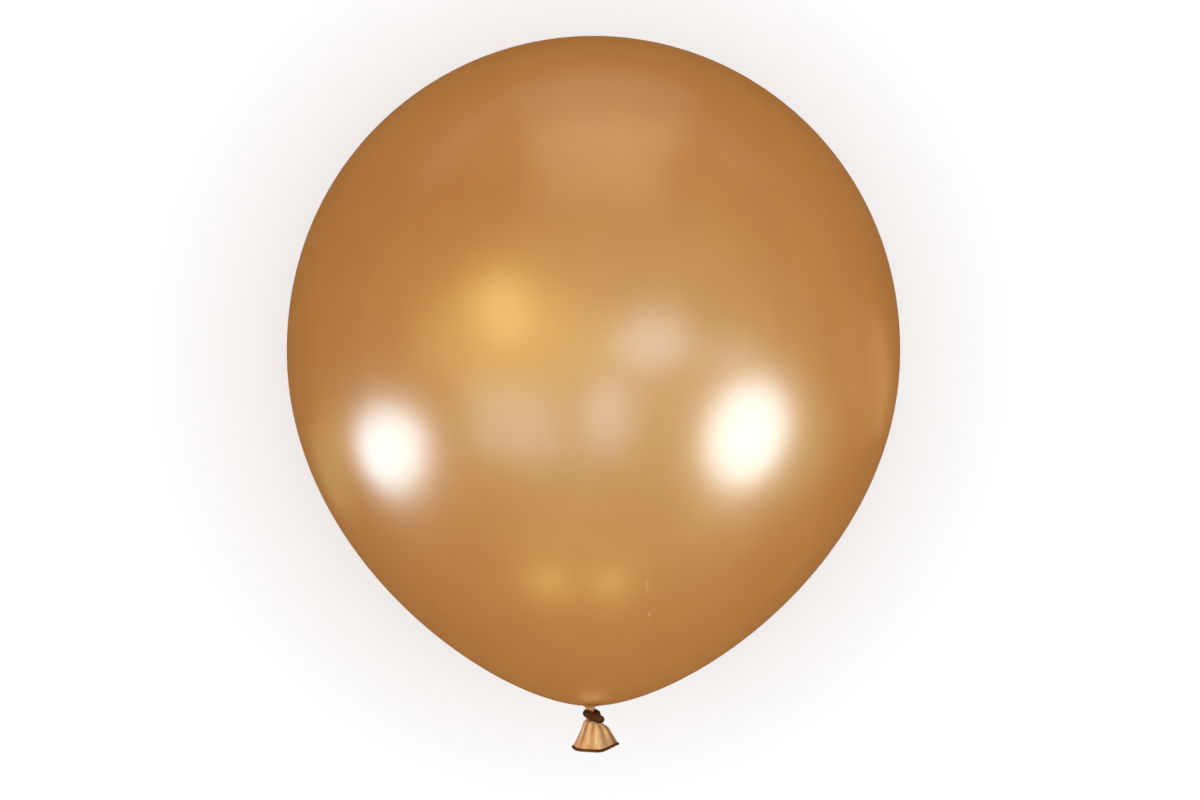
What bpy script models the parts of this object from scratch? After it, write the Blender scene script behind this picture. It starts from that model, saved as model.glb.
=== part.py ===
"""A giant round party balloon of metallic latex: blown up, tied off with a knot in its own
neck, and lying on its side. Metres, +Z up, the crown towards +Y and the tail towards -Y.

It is first made upright about its own axis, crown up (+Z) and front towards -Y, and then laid
on its back. The whole balloon is one moulded skin, so it is one object."""

import math

import bmesh
import bpy
from mathutils import Vector
from mathutils.geometry import interpolate_bezier

# The blown-up body. Its side is two curves that meet at the widest ring.
BODY_WIDTH = 0.600
CROWN_HEIGHT = 0.308
TAPER_HEIGHT = 0.348
# How far each curve keeps its direction, as shares of the height or half width that it spans.
CROWN_ROUNDNESS = 0.521
SHOULDER_FULLNESS = 0.5955
TAPER_FULLNESS = 0.589
BOTTOM_ROUNDNESS = 0.307
# The width of the small face that the balloon rests on.
FLAT_SPOT_WIDTH = 0.070

# The gathered neck, the round where the body turns into it, and its length down to the knot.
NECK_WIDTH = 0.0085
NECK_LENGTH = 0.0055
THROAT_ROUND = 0.003
# The taper's own curve stops at this many times the radius where the round starts.
THROAT_MARGIN = 1.2

# The knot is the neck's own rope of latex, tied round itself. Its route is in rope widths,
# from the neck's lower end: to the right, to the back, and down.
ROPE_WIDTH = 0.0063
KNOT_ROUTE = [
    (0.00, 0.00, -0.40),
    (0.00, 0.00, 0.10),
    (-0.10, 0.08, 0.62),
    (-0.14, 0.36, 1.12),
    (0.36, 0.76, 1.44),
    (1.22, 0.70, 1.44),
    (1.72, 0.02, 1.28),
    (1.46, -0.66, 1.06),
    (0.64, -0.98, 0.72),
    (-0.22, -0.76, 0.40),
    (-0.60, 0.04, 0.34),
    (-0.26, 0.76, 0.12),
    (0.58, 1.02, 0.16),
    (1.18, 0.60, 0.44),
    (1.02, 0.00, 0.84),
    (0.74, -0.16, 1.26),
    (0.62, -0.04, 1.66),
]
# How much wider the rope is at the middle of its front turn, which of those points is there,
# and over how many points the swelling fades.
TURN_SWELL = 1.16
TURN_POINT = 8
TURN_FADE = 2.5
# How the neck closes inside the knot: half width and depth below the knot's top, in rope widths.
NECK_END = [(0.53, 0.0), (0.35, 0.4), (0.0, 0.5)]

# The pressed latex in the middle of the knot, where its turns meet with no gap. Its middle is a
# place on the same scale as the route, and its size is in rope widths.
CORE_MIDDLE = (0.52, 0.06, 0.92)
CORE_SIZE = (1.8, 1.3, 1.5)

# The tail below the knot: a flared, pleated sleeve, wider than it is deep, with a rolled lip.
TAIL_WIDTH = 0.0465
TAIL_DEPTH = 0.027
TAIL_LENGTH = 0.027
TAIL_DRIFT = 0.0008
# Just below the knot the sleeve is slanted, higher on the left. The slant is greatest at one
# share of the way down, fades on both sides of it, and starts from nothing at the collar.
SLANT_HEIGHT = 0.0024
SLANT_SHARE = 0.14
SLANT_FADE = 0.13
SLANT_GROWN_AT = 1 / 12
# The sleeve opens from a collar inside the rope with a quick shoulder, which makes a share of
# the whole opening, and then with a steadier flare.
COLLAR_SHARE = 0.38
SHOULDER_SHARE = 0.33
SHOULDER_REACH = 0.07
FLARE_POWER = 1.1
LATEX_WALL = 0.0006
LIP_THICKNESS = 0.0024
# The pleats start from nothing at the collar and are nearly smoothed out at the lip.
PLEATS = 9
PLEAT_DEPTH = 0.0010
PLEATS_GROWN_AT = 1 / 6
PLEAT_LEFT_AT_LIP = 0.2
# The lip isn't level: it rises to the right, hangs lower at front and back, and ripples.
LIP_RISE = 0.002
LIP_BOW = 0.002
LIP_FRONT_DROP = 0.001
LIP_RIPPLE = 0.0005
LIP_RIPPLES = 5

# How finely the curved shapes are divided.
BODY_SIDES = 64
CROWN_STEPS = 15
TAPER_STEPS = 17
THROAT_STEPS = 4
ROUTE_STEPS = 4
ROPE_RESOLUTION = 4
CORE_SIDES = 12
CORE_RINGS = 8
TAIL_SIDES = 54
TAIL_STEPS = 9
# Above 1, the tail's rings lie closer together near the knot, where it bends most.
RING_CROWDING = 1.5
LIP_RESOLUTION = 2
WELD_DISTANCE = 0.00001

HALF_WIDTH = BODY_WIDTH / 2
KNOT_TOP = -TAPER_HEIGHT - NECK_LENGTH


def clear_scene():
    """Removes the objects of the startup scene."""
    for thing in list(bpy.data.objects):
        bpy.data.objects.remove(thing)


def new_collection(name):
    """A collection in the scene for the objects that are linked to it."""
    group = bpy.data.collections.new(name)
    bpy.context.scene.collection.children.link(group)
    return group


def latex_material():
    """Gold latex with fine metal powder in it."""
    material = bpy.data.materials.new("metallic_latex")
    material.use_nodes = True
    shader = material.node_tree.nodes["Principled BSDF"]
    shader.inputs["Base Color"].default_value = (0.56, 0.27, 0.07, 1.0)
    shader.inputs["Metallic"].default_value = 0.85
    shader.inputs["Roughness"].default_value = 0.32
    return material


def side_curve(start, start_handle, end_handle, end, steps):
    """Points along one smooth curve of the body's side, as (radius, height)."""
    ends = [Vector((x, z, 0.0)) for x, z in (start, start_handle, end_handle, end)]
    return [(p.x, p.y) for p in interpolate_bezier(*ends, steps + 1)]


def body_profile():
    """The side of the body and neck, from the middle of the crown to the neck's closed end.
    The widest ring is at height 0."""
    crown = side_curve(
        (0.0, CROWN_HEIGHT),
        (HALF_WIDTH * CROWN_ROUNDNESS, CROWN_HEIGHT),
        (HALF_WIDTH, CROWN_HEIGHT * SHOULDER_FULLNESS),
        (HALF_WIDTH, 0.0),
        CROWN_STEPS,
    )
    taper = side_curve(
        (HALF_WIDTH, 0.0),
        (HALF_WIDTH, -TAPER_HEIGHT * TAPER_FULLNESS),
        (HALF_WIDTH * BOTTOM_ROUNDNESS, -TAPER_HEIGHT),
        (0.0, -TAPER_HEIGHT),
        TAPER_STEPS,
    )
    neck_radius = NECK_WIDTH / 2
    throat_edge = neck_radius + THROAT_ROUND
    side = crown + [p for p in taper[1:] if p[0] > throat_edge * THROAT_MARGIN]
    for step in range(THROAT_STEPS + 1):
        turn = math.pi / 2 * step / THROAT_STEPS
        side.append(
            (
                throat_edge - THROAT_ROUND * math.sin(turn),
                -TAPER_HEIGHT - THROAT_ROUND * (1 - math.cos(turn)),
            )
        )
    for out, down in NECK_END:
        side.append((ROPE_WIDTH * out, KNOT_TOP - ROPE_WIDTH * down))
    return side


def turned_body(material, group):
    """The body and neck, turned about the balloon's own axis."""
    mesh = bpy.data.meshes.new("balloon")
    points = [(x, 0.0, z) for x, z in body_profile()]
    mesh.from_pydata(points, [(i, i + 1) for i in range(len(points) - 1)], [])
    mesh.materials.append(material)
    body = bpy.data.objects.new("balloon", mesh)
    group.objects.link(body)
    turn = body.modifiers.new("turn", "SCREW")
    turn.axis = "Z"
    turn.steps = BODY_SIDES
    turn.render_steps = BODY_SIDES
    turn.use_merge_vertices = True
    turn.merge_threshold = WELD_DISTANCE
    return body


def smooth_route(points, steps):
    """A Catmull-Rom curve through the points, with its ends kept."""
    padded = [points[0] * 2 - points[1], *points, points[-1] * 2 - points[-2]]
    route = []
    for a, b, c, d in zip(padded, padded[1:], padded[2:], padded[3:]):
        for step in range(steps):
            t = step / steps
            route.append(
                0.5
                * (
                    b * 2
                    + (c - a) * t
                    + (a * 2 - b * 5 + c * 4 - d) * t**2
                    + (b * 3 - a - c * 3 + d) * t**3
                )
            )
    return route + [points[-1]]


def knot_points():
    """The route of the knotted rope in metres, about the balloon's own axis."""
    return smooth_route([knot_place(*point) for point in KNOT_ROUTE], ROUTE_STEPS)


def rope_swell(index):
    """The rope's width along its route, as a share of ROPE_WIDTH."""
    away = (index / ROUTE_STEPS - TURN_POINT) / TURN_FADE
    return 1 + (TURN_SWELL - 1) * math.exp(-(away**2))


def mesh_of(curve_object, group):
    """The curve as a mesh with its caps welded on, in the curve's place."""
    graph = bpy.context.evaluated_depsgraph_get()
    mesh = bpy.data.meshes.new_from_object(curve_object.evaluated_get(graph))
    shape = bmesh.new()
    shape.from_mesh(mesh)
    bmesh.ops.remove_doubles(shape, verts=shape.verts, dist=WELD_DISTANCE)
    shape.to_mesh(mesh)
    shape.free()
    made = bpy.data.objects.new(curve_object.name + "_solid", mesh)
    made.matrix_world = curve_object.matrix_world
    group.objects.link(made)
    bpy.data.objects.remove(curve_object)
    return made


def round_strand(name, points, widths, closed, resolution, group):
    """A round solid strand through the points, with a width at each. The bevel is half a unit
    deep, so that a point's radius value is the strand's full width there."""
    curve = bpy.data.curves.new(name, "CURVE")
    curve.dimensions = "3D"
    curve.bevel_depth = 0.5
    curve.bevel_resolution = resolution
    curve.use_fill_caps = not closed
    spline = curve.splines.new("POLY")
    spline.points.add(len(points) - 1)
    spline.use_cyclic_u = closed
    for place, point, width in zip(spline.points, points, widths):
        place.co = (*point, 1.0)
        place.radius = width
    strand = bpy.data.objects.new(name, curve)
    group.objects.link(strand)
    bpy.context.view_layer.update()
    return mesh_of(strand, group)


def knot_place(x, y, down):
    """A place in the knot, from rope widths to the right, to the back and down."""
    return Vector((x * ROPE_WIDTH, y * ROPE_WIDTH, KNOT_TOP - down * ROPE_WIDTH))


def knot_core(group):
    """The egg of pressed latex that the turns of the knot close round."""
    shape = bmesh.new()
    bmesh.ops.create_uvsphere(
        shape, u_segments=CORE_SIDES, v_segments=CORE_RINGS, radius=ROPE_WIDTH / 2
    )
    bmesh.ops.scale(shape, verts=shape.verts, vec=CORE_SIZE)
    bmesh.ops.translate(shape, verts=shape.verts, vec=knot_place(*CORE_MIDDLE))
    mesh = bpy.data.meshes.new("knot_core")
    shape.to_mesh(mesh)
    shape.free()
    core = bpy.data.objects.new("knot_core", mesh)
    group.objects.link(core)
    return core


def collar_centre():
    """Where the tail opens out of the rope, a little above the rope's lower end."""
    return knot_place(*KNOT_ROUTE[-2])


def flare(share):
    """How far the tail has opened: 0 at the collar, 1 at the lip."""
    shoulder = (1 - math.exp(-share / SHOULDER_REACH)) / (1 - math.exp(-1 / SHOULDER_REACH))
    return SHOULDER_SHARE * shoulder + (1 - SHOULDER_SHARE) * share**FLARE_POWER


def tail_point(angle, share):
    """A point in the middle of the tail's wall. Angle 0 is to the right, and share runs from
    0 at the collar to 1 at the lip."""
    opened = flare(share)
    collar = ROPE_WIDTH * COLLAR_SHARE
    rolled = LIP_THICKNESS / 2
    half_wide = collar + (TAIL_WIDTH / 2 - rolled - collar) * opened
    half_deep = collar + (TAIL_DEPTH / 2 - rolled - collar) * opened
    fading = 1 - (1 - PLEAT_LEFT_AT_LIP) * share
    fold = PLEAT_DEPTH * min(1.0, share / PLEATS_GROWN_AT) * fading * math.cos(PLEATS * angle)
    slant = math.exp(-(((share - SLANT_SHARE) / SLANT_FADE) ** 2))
    slant *= SLANT_HEIGHT * min(1.0, share / SLANT_GROWN_AT)
    drop = (
        TAIL_LENGTH
        - LIP_RISE * math.cos(angle)
        - LIP_FRONT_DROP * math.sin(angle)
        - LIP_BOW * math.cos(2 * angle)
        + LIP_RIPPLE * math.cos(LIP_RIPPLES * angle)
    )
    middle = collar_centre()
    return Vector(
        (
            middle.x + TAIL_DRIFT * share + (half_wide + fold) * math.cos(angle),
            middle.y + (half_deep + fold) * math.sin(angle),
            middle.z - drop * share - slant * math.cos(angle),
        )
    )


def tail_ring(share):
    """The points of one ring round the tail."""
    return [tail_point(2 * math.pi * i / TAIL_SIDES, share) for i in range(TAIL_SIDES)]


def tail_sleeve(group):
    """The tail's thin wall, lofted from the round collar to the flat wide lip."""
    shape = bmesh.new()
    shares = [(i / TAIL_STEPS) ** RING_CROWDING for i in range(TAIL_STEPS + 1)]
    rings = [[shape.verts.new(p) for p in tail_ring(share)] for share in shares]
    for upper, lower in zip(rings, rings[1:]):
        for i in range(TAIL_SIDES):
            after = (i + 1) % TAIL_SIDES
            shape.faces.new((upper[i], lower[i], lower[after], upper[after]))
    mesh = bpy.data.meshes.new("tail_sleeve")
    shape.to_mesh(mesh)
    shape.free()
    sleeve = bpy.data.objects.new("tail_sleeve", mesh)
    group.objects.link(sleeve)
    wall = sleeve.modifiers.new("wall", "SOLIDIFY")
    wall.thickness = LATEX_WALL
    wall.offset = 0.0
    return sleeve


def connected_faces(first, found):
    """The faces that are joined to the first one by edges, marked in found."""
    found.add(first)
    island = [first]
    for face in island:
        for edge in face.edges:
            for neighbour in edge.link_faces:
                if neighbour not in found:
                    found.add(neighbour)
                    island.append(neighbour)
    return island


def enclosed_volume(faces):
    """The volume inside closed faces, negative where they are the wall of a hollow."""
    return sum(f.calc_center_median().dot(f.normal) * f.calc_area() for f in faces) / 3


def settle_solid(body):
    """Turns the joined balloon into one plain mesh, with the pinholes filled that are left
    where turns of the knot press on each other."""
    graph = bpy.context.evaluated_depsgraph_get()
    mesh = bpy.data.meshes.new_from_object(body.evaluated_get(graph))
    shape = bmesh.new()
    shape.from_mesh(mesh)
    found = set()
    pinholes = []
    for face in shape.faces:
        if face not in found:
            island = connected_faces(face, found)
            if enclosed_volume(island) < 0:
                pinholes += island
    bmesh.ops.delete(shape, geom=pinholes, context="FACES")
    shape.to_mesh(mesh)
    shape.free()
    body.modifiers.clear()
    body.data = mesh


def floor_block(axis_height, group):
    """The cutter that leaves the small flat face at the back."""
    block_size = BODY_WIDTH + CROWN_HEIGHT + TAPER_HEIGHT
    bpy.ops.mesh.primitive_cube_add(size=block_size)
    block = bpy.context.object
    block.name = "floor_block"
    block.location.y = axis_height + block_size / 2
    for owner in list(block.users_collection):
        owner.objects.unlink(block)
    group.objects.link(block)
    return block


def helper(thing):
    """Marks a solid that is only joined to the balloon or cut from it."""
    thing.hide_render = True
    thing.display_type = "WIRE"
    return thing


def add_boolean(body, other, operation, tangled=False):
    """Joins another solid to the balloon, or cuts it away."""
    step = body.modifiers.new(operation.lower() + "_" + other.name, "BOOLEAN")
    step.operation = operation
    step.object = helper(other)
    step.use_self = tangled


def main():
    """Makes the balloon upright, then lays it down with its middle over the origin."""
    clear_scene()
    group = new_collection("giant_balloon")
    helpers = new_collection("joined_and_cut")
    body = turned_body(latex_material(), group)

    route = knot_points()
    widths = [ROPE_WIDTH * rope_swell(i) for i in range(len(route))]
    rope = round_strand("knot_rope", route, widths, False, ROPE_RESOLUTION, helpers)
    sleeve = tail_sleeve(helpers)
    rim = tail_ring(1.0)
    lip = round_strand("rolled_lip", rim, [LIP_THICKNESS] * len(rim), True, LIP_RESOLUTION, helpers)

    axis_height = math.sqrt(HALF_WIDTH**2 - (FLAT_SPOT_WIDTH / 2) ** 2)
    add_boolean(rope, knot_core(helpers), "UNION", tangled=True)
    add_boolean(body, rope, "UNION")
    add_boolean(body, sleeve, "UNION")
    add_boolean(body, lip, "UNION")
    add_boolean(body, floor_block(axis_height, helpers), "DIFFERENCE")

    lowest = min(p.z for p in rim) - LIP_THICKNESS / 2
    body.rotation_euler.x = -math.pi / 2
    body.location = (0.0, -(CROWN_HEIGHT + lowest) / 2, axis_height)
    for other in helpers.objects:
        other.parent = body
    for shape in [body, *helpers.objects]:
        shape.data.shade_smooth()
    settle_solid(body)
    bpy.context.view_layer.update()


main()
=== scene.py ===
# %% [markdown]
# A giant balloon of gold metallic latex
#
# This lesson dresses one part: a round party balloon that is blown up, tied off with a knot in
# its own neck, and lies on its side. A balloon is a single skin of latex. It is stretched very
# thin over the body, gathered into a rope at the neck, tied round itself, and hardly stretched
# at all in the tail. So the whole balloon is made here as one skin, in rings from the crown to
# the rolled lip and back up the inside of the tail.

# %% Load the frame
import math
import random

import bpy
import numpy as np
from mathutils import Matrix, Vector


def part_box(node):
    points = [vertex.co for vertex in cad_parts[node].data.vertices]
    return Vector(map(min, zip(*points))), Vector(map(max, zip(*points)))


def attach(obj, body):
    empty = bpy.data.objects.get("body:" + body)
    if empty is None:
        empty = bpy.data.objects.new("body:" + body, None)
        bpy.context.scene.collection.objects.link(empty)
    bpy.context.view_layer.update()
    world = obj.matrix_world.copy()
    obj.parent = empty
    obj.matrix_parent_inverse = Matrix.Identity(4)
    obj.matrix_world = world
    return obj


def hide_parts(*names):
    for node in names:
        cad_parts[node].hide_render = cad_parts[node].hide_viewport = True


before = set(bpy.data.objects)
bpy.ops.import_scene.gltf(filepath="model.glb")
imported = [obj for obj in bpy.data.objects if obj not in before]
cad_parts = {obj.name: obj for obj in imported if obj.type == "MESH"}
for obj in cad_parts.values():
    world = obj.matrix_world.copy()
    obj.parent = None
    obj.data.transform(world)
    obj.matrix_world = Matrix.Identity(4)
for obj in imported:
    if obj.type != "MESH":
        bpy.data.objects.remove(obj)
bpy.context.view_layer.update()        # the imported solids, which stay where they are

# %% [markdown]
# Where the balloon lies
#
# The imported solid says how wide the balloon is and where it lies. Shapes are worked out upright,
# with the crown up and the widest ring at height 0, because a turned shape is easiest to think
# of that way. A short function then lays every point down on the floor.

# %% Read the balloon's size and place from the solid
low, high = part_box("balloon")
BODY_WIDTH = high.x - low.x
HALF_WIDTH = BODY_WIDTH / 2
AXIS_HEIGHT = high.z - HALF_WIDTH
CROWN_HEIGHT = 0.308
TAPER_HEIGHT = 0.348
RING_PLACE = high.y - CROWN_HEIGHT


def laid_down(points):
    """Upright points (right, back, up) as they lie: the crown towards +Y, the front facing up."""
    return np.stack(
        [points[:, 0], points[:, 2] + RING_PLACE, AXIS_HEIGHT - points[:, 1]], axis=1
    )


print(f"body {BODY_WIDTH * 1000:.0f} mm wide, axis {AXIS_HEIGHT * 1000:.1f} mm above the floor")

# %% [markdown]
# The camera
#
# The photograph shows the balloon upright from its front, and the balloon lies on its back, so
# the camera looks straight down on it. The photograph leans by about half a degree, and the
# camera is rolled by as much. A long lens from a few metres away keeps the outline round.

# %% Place the camera over the balloon
IMAGE_WIDTH = 1200
IMAGE_HEIGHT = 800
RING_PIXEL = (593.5, 351.0)
BODY_PIXELS = 613.6
METRES_PER_PIXEL = BODY_WIDTH / BODY_PIXELS
LEAN = 0.00963
CAMERA_HEIGHT = 3.5

camera_data = bpy.data.cameras.new("camera")
camera = bpy.data.objects.new("camera", camera_data)
bpy.context.scene.collection.objects.link(camera)
bpy.context.scene.camera = camera

# From the side, the outline of a ball is a little nearer to the camera than its middle.
outline_growth = 1 / math.sqrt(1 - (HALF_WIDTH / CAMERA_HEIGHT) ** 2)
camera_data.sensor_width = 36.0
camera_data.lens = (
    camera_data.sensor_width * CAMERA_HEIGHT / (METRES_PER_PIXEL * IMAGE_WIDTH) / outline_growth
)
image_right = Vector((math.cos(LEAN), math.sin(LEAN), 0.0))
image_up = Vector((-math.sin(LEAN), math.cos(LEAN), 0.0))
ring_middle = Vector((0.0, RING_PLACE, AXIS_HEIGHT))


def over_pixel(x, y):
    """The point at the height of the balloon's axis that shows at a pixel of the photograph."""
    return (
        ring_middle
        + image_right * (x - RING_PIXEL[0]) * METRES_PER_PIXEL
        - image_up * (y - RING_PIXEL[1]) * METRES_PER_PIXEL
    )


camera.location = over_pixel(IMAGE_WIDTH / 2, IMAGE_HEIGHT / 2) + Vector((0, 0, CAMERA_HEIGHT))
camera.rotation_euler = (0.0, 0.0, LEAN)
print(f"lens {camera_data.lens:.1f} mm, camera {camera.location.z:.2f} m above the floor")

# %% [markdown]
# One skin made of rings
#
# A balloon could be turned on a lathe as far as the neck, but the knot is a rope that runs over
# and under itself, and the tail is a pleated sleeve. What they share is that each is a tube. So
# the skin is a list of rings with the same number of points, and every two neighbouring rings
# are joined by a band of faces. A gather in the latex then runs on through the neck, the knot
# and the tail at the same place round the ring, as the real folds do.

# %% Say how rings and gathers are made
SIDES = 192
AROUND = np.arange(SIDES) * (2 * math.pi / SIDES)
NECK_WIDTH = 0.0085
ROPE_WIDTH = 0.0063
# Each kind of gather: how many there are round the neck, and its share of the whole depth.
GATHERS = [(11, 0.5), (17, 0.3), (26, 0.2)]
GATHER_DEPTH = 0.00026
chance = random.Random(24)
GATHER_STARTS = [chance.uniform(0, 2 * math.pi) for kind in GATHERS]


def gathers(out=0.0, reach=1.0):
    """The folds round the neck, from -1 to 1. They fade with the distance out from the neck, and
    the finest fade first."""
    folds = np.zeros(SIDES)
    coarsest = GATHERS[0][0]
    for (count, share), start in zip(GATHERS, GATHER_STARTS):
        fading = math.exp(-out / reach * count / coarsest)
        folds += share * fading * np.cos(count * AROUND + start)
    return folds


rings = []
marks = {"slack": [], "tightness_and_shade": [], "fold": []}


def add_ring(points, slack, tightness_and_shade, fold):
    """Adds a ring of upright points, with how slack, how tightly tied and how folded it is.
    Tightness and fold also set how much painted shade the materials give it.
    """
    rings.append(points)
    marks["slack"].append(np.full(SIDES, slack))
    marks["tightness_and_shade"].append(np.full(SIDES, tightness_and_shade))
    marks["fold"].append(np.broadcast_to(fold, SIDES))


def smooth_step(value):
    """Runs from 0 to 1 with soft ends, for values from 0 to 1, and stays flat outside them."""
    t = min(1.0, max(0.0, value))
    return t * t * (3 - 2 * t)


print(f"{SIDES} points round each ring, and {len(GATHERS)} kinds of gather")

# %% [markdown]
# The body
#
# Air pressure gives a balloon a crown that is nearly half a ball, and a longer taper down to the
# neck. Two smooth curves that meet at the widest ring say exactly that with a few sizes, and
# they are the curves of the solid. The skin puckers where it is drawn into the neck, so rings
# lie closer together there and move in and out with the gathers.

# %% Work out the side of the body
CROWN_ROUNDNESS = 0.521
SHOULDER_FULLNESS = 0.5955
TAPER_FULLNESS = 0.589
BOTTOM_ROUNDNESS = 0.307
THROAT_ROUND = 0.003
THROAT_MARGIN = 1.2
CROWN_STEPS = 70
TAPER_STEPS = 96
THROAT_STEPS = 8
BOTTOM_CROWDING = 1.5


def curve_at(ends, share):
    """A point on a curve that is given by its two ends and the two handles between them."""
    a, b, c, d = (np.array(p) for p in ends)
    left = 1 - share
    return left**3 * a + 3 * left**2 * share * b + 3 * left * share**2 * c + share**3 * d


crown_curve = [
    (0.0, CROWN_HEIGHT),
    (HALF_WIDTH * CROWN_ROUNDNESS, CROWN_HEIGHT),
    (HALF_WIDTH, CROWN_HEIGHT * SHOULDER_FULLNESS),
    (HALF_WIDTH, 0.0),
]
taper_curve = [
    (HALF_WIDTH, 0.0),
    (HALF_WIDTH, -TAPER_HEIGHT * TAPER_FULLNESS),
    (HALF_WIDTH * BOTTOM_ROUNDNESS, -TAPER_HEIGHT),
    (0.0, -TAPER_HEIGHT),
]
throat_edge = NECK_WIDTH / 2 + THROAT_ROUND

side = [curve_at(crown_curve, i / CROWN_STEPS) for i in range(1, CROWN_STEPS)]
for i in range(TAPER_STEPS):
    point = curve_at(taper_curve, 1 - (1 - i / TAPER_STEPS) ** BOTTOM_CROWDING)
    if point[0] > throat_edge * THROAT_MARGIN:
        side.append(point)
for i in range(THROAT_STEPS):
    turn = math.pi / 2 * i / THROAT_STEPS
    out = throat_edge - THROAT_ROUND * math.sin(turn)
    side.append(np.array((out, -TAPER_HEIGHT - THROAT_ROUND * (1 - math.cos(turn)))))
side = np.array(side)
print(f"{len(side)} rings from the crown to the neck")

# %% Turn the side into rings, with puckers by the neck and a thick spot at the crown
PUCKER_REACH = 0.007
SLACK_REACH = 0.009
CROWN_SPOT = 0.020
CROWN_SPOT_SLACK = 0.15

along = np.gradient(side, axis=0)
along /= np.linalg.norm(along, axis=1)[:, None]
for (out, height), (step_out, step_up) in zip(side, along):
    below_ring = height < 0
    fold = gathers(max(0.0, out - throat_edge), PUCKER_REACH) if below_ring else np.zeros(SIDES)
    # The outward normal of the side is its direction turned a quarter.
    across, up = -step_up, step_out
    radius = out + GATHER_DEPTH * fold * across
    level = height + GATHER_DEPTH * fold * up
    if below_ring:
        slack = math.exp(-((max(0.0, out - NECK_WIDTH / 2) / SLACK_REACH) ** 2))
    else:
        slack = CROWN_SPOT_SLACK * math.exp(-((out / CROWN_SPOT) ** 2))
    points = np.stack([radius * np.cos(AROUND), radius * np.sin(AROUND), level], axis=1)
    add_ring(points, slack, 0.0, fold)
body_rings = len(rings)
print(f"{body_rings} rings of body, puckered by up to {GATHER_DEPTH * 1000:.2f} mm")

# %% [markdown]
# The knot
#
# The neck is tied in an overhand knot, so the rope of gathered latex really runs over and under
# itself along a route in space. A chain of points in rope widths is the plainest way to say
# where a knot goes. A smooth curve runs through them, and rings stand across it. Each ring is
# turned as little as possible from the one before, or the rope would look wrung out.

# %% Lay the route of the rope
NECK_LENGTH = 0.0055
KNOT_TOP = -TAPER_HEIGHT - NECK_LENGTH
# In rope widths from the neck's lower end: to the right, to the back, and down.
KNOT_ROUTE = [
    (0.00, 0.00, -0.40),
    (0.00, 0.00, 0.10),
    (-0.10, 0.08, 0.62),
    (-0.14, 0.36, 1.12),
    (0.36, 0.76, 1.44),
    (1.22, 0.70, 1.44),
    (1.72, 0.02, 1.28),
    (1.46, -0.66, 1.06),
    (0.64, -0.98, 0.72),
    (-0.22, -0.76, 0.40),
    (-0.60, 0.04, 0.34),
    (-0.26, 0.76, 0.12),
    (0.58, 1.02, 0.16),
    (1.18, 0.60, 0.44),
    (1.02, 0.00, 0.84),
    (0.74, -0.16, 1.26),
    (0.62, -0.04, 1.66),
]
RINGS_PER_POINT = 10
EVENING_ROUNDS = 12


def knot_place(right, back, down):
    """A place in the knot, from rope widths, as an upright point."""
    return np.array((right * ROPE_WIDTH, back * ROPE_WIDTH, KNOT_TOP - down * ROPE_WIDTH))


def smooth_route(points, steps):
    """A smooth curve through the points, with its ends kept."""
    padded = [2 * points[0] - points[1], *points, 2 * points[-1] - points[-2]]
    route = []
    for a, b, c, d in zip(padded, padded[1:], padded[2:], padded[3:]):
        for t in np.arange(steps) / steps:
            bend = (2 * a - 5 * b + 4 * c - d) * t**2 + (3 * b - a - 3 * c + d) * t**3
            route.append((2 * b + (c - a) * t + bend) / 2)
    return np.array(route)


collar = knot_place(*KNOT_ROUTE[-2])
centres = smooth_route([knot_place(*p) for p in KNOT_ROUTE], RINGS_PER_POINT)
centres = centres[: (len(KNOT_ROUTE) - 2) * RINGS_PER_POINT]
# The curve bends most at its points. Each round of this evens the bends out a little.
for evening in range(EVENING_ROUNDS):
    centres[1:-1] = (centres[:-2] + 2 * centres[1:-1] + centres[2:]) / 4
run = np.concatenate([[0], np.cumsum(np.linalg.norm(np.diff(centres, axis=0), axis=1))])
print(f"the knot takes {run[-1] * 1000:.0f} mm of rope in {len(centres)} rings")

# %% Stand a ring across the rope at every step
headings = np.gradient(centres, axis=0)
headings /= np.linalg.norm(headings, axis=1)[:, None]
# The first ring faces straight down, like the neck that it continues.
headings[0] = (0, 0, -1)
rights = [np.array((1.0, 0.0, 0.0))]
for heading in headings[1:]:
    right = rights[-1] - heading * np.dot(rights[-1], heading)
    rights.append(right / np.linalg.norm(right))
rights = np.array(rights)
backs = np.cross(rights, headings)

# The last ring has to start at the right again, where the tail's rings start.
wanted = np.array((1.0, 0.0, 0.0))
leftover = math.atan2(np.dot(wanted, backs[-1]), np.dot(wanted, rights[-1]))
print(f"the rope is turned by {math.degrees(leftover):.0f} degrees on its way through the knot")

# %% [markdown]
# Turns that press on each other
#
# Two round ropes that cross would cut into each other. Real latex turns flatten where they
# press, half and half. So each point of a ring moves out to its full radius only if it is still
# nearer to its own rope than to any other turn: it stops at the middle between the two. In the
# same way it stops short of the middle of a tight bend, where rings would cross each other.

# %% Swell the rope, and stop it half way to its neighbours
TURN_SWELL = 1.16
TURN_POINT = 8
TURN_FADE = 2.5
PRESS_GAP = 0.00004
OWN_STRETCH = 1.35 * ROPE_WIDTH
MOST_ROOM = 2 * ROPE_WIDTH
NECK_END_SHARE = 0.53
NEXT_TO_NONE = 1e-9
SOFT_EDGE = 0.00025
LEVEL_OUT = 0.86
COLLAR_LOOSENESS = 0.2
# A ring may reach this share of the way to the middle of its bend. Bends are given as one over
# their radius in metres, and a straight stretch counts as the gentlest bend.
BEND_SHARE = 0.65
GENTLEST_BEND = 1.0
# The knot's painted shade is lifted where the rope shows at the left below the front turn, so it
# is palest there.
PALE_STRAND_POINT = 2.6
PALE_STRAND_FADE = 0.8
PALE_STRAND_SHARE = 0.9


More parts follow.
